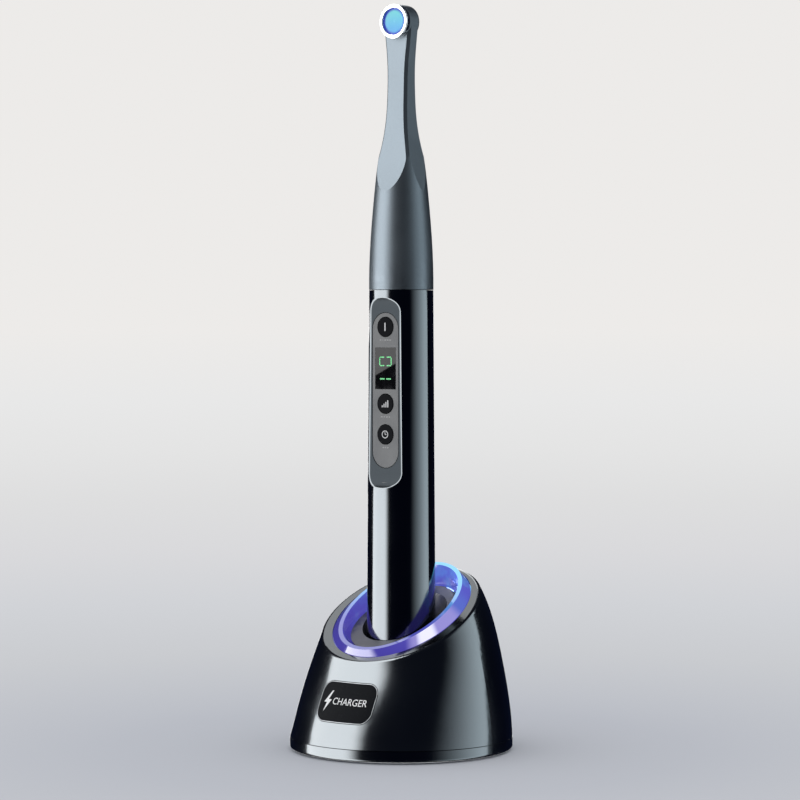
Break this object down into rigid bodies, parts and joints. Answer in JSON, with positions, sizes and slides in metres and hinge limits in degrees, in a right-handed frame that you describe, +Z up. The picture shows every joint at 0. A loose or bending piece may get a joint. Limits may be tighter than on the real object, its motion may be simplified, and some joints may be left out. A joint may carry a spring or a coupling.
{
  "type": "dental curing light on charging stand",
  "caption": "Cordless pen-shaped dental curing light with a turning head, standing in a domed charging base with a light ring.",
  "frame": {"origin": "middle of the base's footprint on the table", "axes": "+Z up along the handpiece, -Y towards the keys, the lens and the badge plate, +X to the right of the keys as the user sees them"},
  "size_m": [0.0768, 0.0768, 0.2562],
  "materials": {
    "shell_gloss": "high gloss blue-black lacquer",
    "base_plastic": "fine texture",
    "tray_plastic": "satin",
    "ring_clear": "clear, lit from below",
    "foot_rubber": "matt",
    "steel": "zinc plated",
    "circuit_board": "solder mask",
    "chip_plastic": "moulded",
    "inlet_plastic": "moulded",
    "lamp": "lit",
    "contact_gold": "gold flashed",
    "badge_black": "printed",
    "barrel_gloss": "anodised and lacquered, high gloss",
    "panel_grey": "satin",
    "display_black": "polished",
    "key_black": "satin",
    "nose_satin": "bead blasted and anodised",
    "bezel_chrome": "polished",
    "lens_glass": "coated",
    "bush_plastic": "moulded",
    "copper": "bare",
    "cell_wrap": "shrink film",
    "tail_plastic": "moulded"
  },
  "bodies": {
    "base": {"base_shell": "shell_gloss", "base_plate": "base_plastic", "rubber_feet": "foot_rubber", "base_screws": "steel", "ballast_plate": "steel", "charger_board": "circuit_board", "charger_chips": "chip_plastic", "power_inlet": "inlet_plastic", "dock_tray": "tray_plastic", "light_ring": "ring_clear", "ring_board": "circuit_board", "ring_leds": "lamp", "pin_barrels": "contact_gold", "centre_pin_spring": "steel", "side_pin_spring": "steel", "badge_plate": "badge_black"},
    "handpiece": {"barrel_tube": "barrel_gloss", "key_plate": "panel_grey", "display_glass": "display_black", "display_module": "chip_plastic", "tact_switches": "chip_plastic", "main_board": "circuit_board", "board_chips": "chip_plastic", "buzzer": "chip_plastic", "carrier": "inlet_plastic", "board_screws": "steel", "jack_socket": "inlet_plastic", "swivel_bush": "bush_plastic", "battery_cell": "cell_wrap", "battery_sleeve": "inlet_plastic", "front_contact": "contact_gold", "contact_bulkhead": "inlet_plastic", "tail_cap": "tail_plastic", "tail_pad_centre": "contact_gold", "tail_pad_ring": "contact_gold", "tail_board": "circuit_board", "tail_seal": "foot_rubber", "battery_spring": "steel"},
    "head": {"nose_shell": "nose_satin", "retaining_clip": "steel", "swivel_seal": "foot_rubber", "contact_plug": "inlet_plastic", "head_wires": "copper", "heat_slug": "copper", "led_board": "circuit_board", "led_emitter": "lamp", "reflector": "bezel_chrome", "lens": "lens_glass", "lens_bezel": "bezel_chrome"},
    "power_key": {"power_button": "key_black"},
    "mode_key": {"mode_button": "key_black"},
    "time_key": {"time_button": "key_black"},
    "centre_plunger": {"centre_pin": "contact_gold"},
    "side_plunger": {"side_pin": "contact_gold"}
  },
  "joints": [
    {"name": "handpiece_lift", "type": "slide", "parent": "base", "child": "handpiece", "axis": [0, 0, 1], "range_m": [0, 0.08]},
    {"name": "head_swivel", "type": "hinge", "parent": "handpiece", "child": "head", "pos_m": [0, 0, 0.158], "axis": [0, 0, 1], "continuous": true},
    {"name": "power_press", "type": "slide", "parent": "handpiece", "child": "power_key", "axis": [0, 1, 0], "range_m": [0, 0.0004], "stiffness_N_per_m": 600},
    {"name": "mode_press", "type": "slide", "parent": "handpiece", "child": "mode_key", "axis": [0, 1, 0], "range_m": [0, 0.0004], "stiffness_N_per_m": 600},
    {"name": "time_press", "type": "slide", "parent": "handpiece", "child": "time_key", "axis": [0, 1, 0], "range_m": [0, 0.0004], "stiffness_N_per_m": 600},
    {"name": "centre_pin_travel", "type": "slide", "parent": "base", "child": "centre_plunger", "axis": [0, 0, -1], "range_m": [0, 0.0006], "stiffness_N_per_m": 300, "deforming": ["centre_pin_spring"]},
    {"name": "side_pin_travel", "type": "slide", "parent": "base", "child": "side_plunger", "axis": [0, 0, -1], "range_m": [0, 0.0006], "stiffness_N_per_m": 300, "deforming": ["side_pin_spring"]}
  ]
}
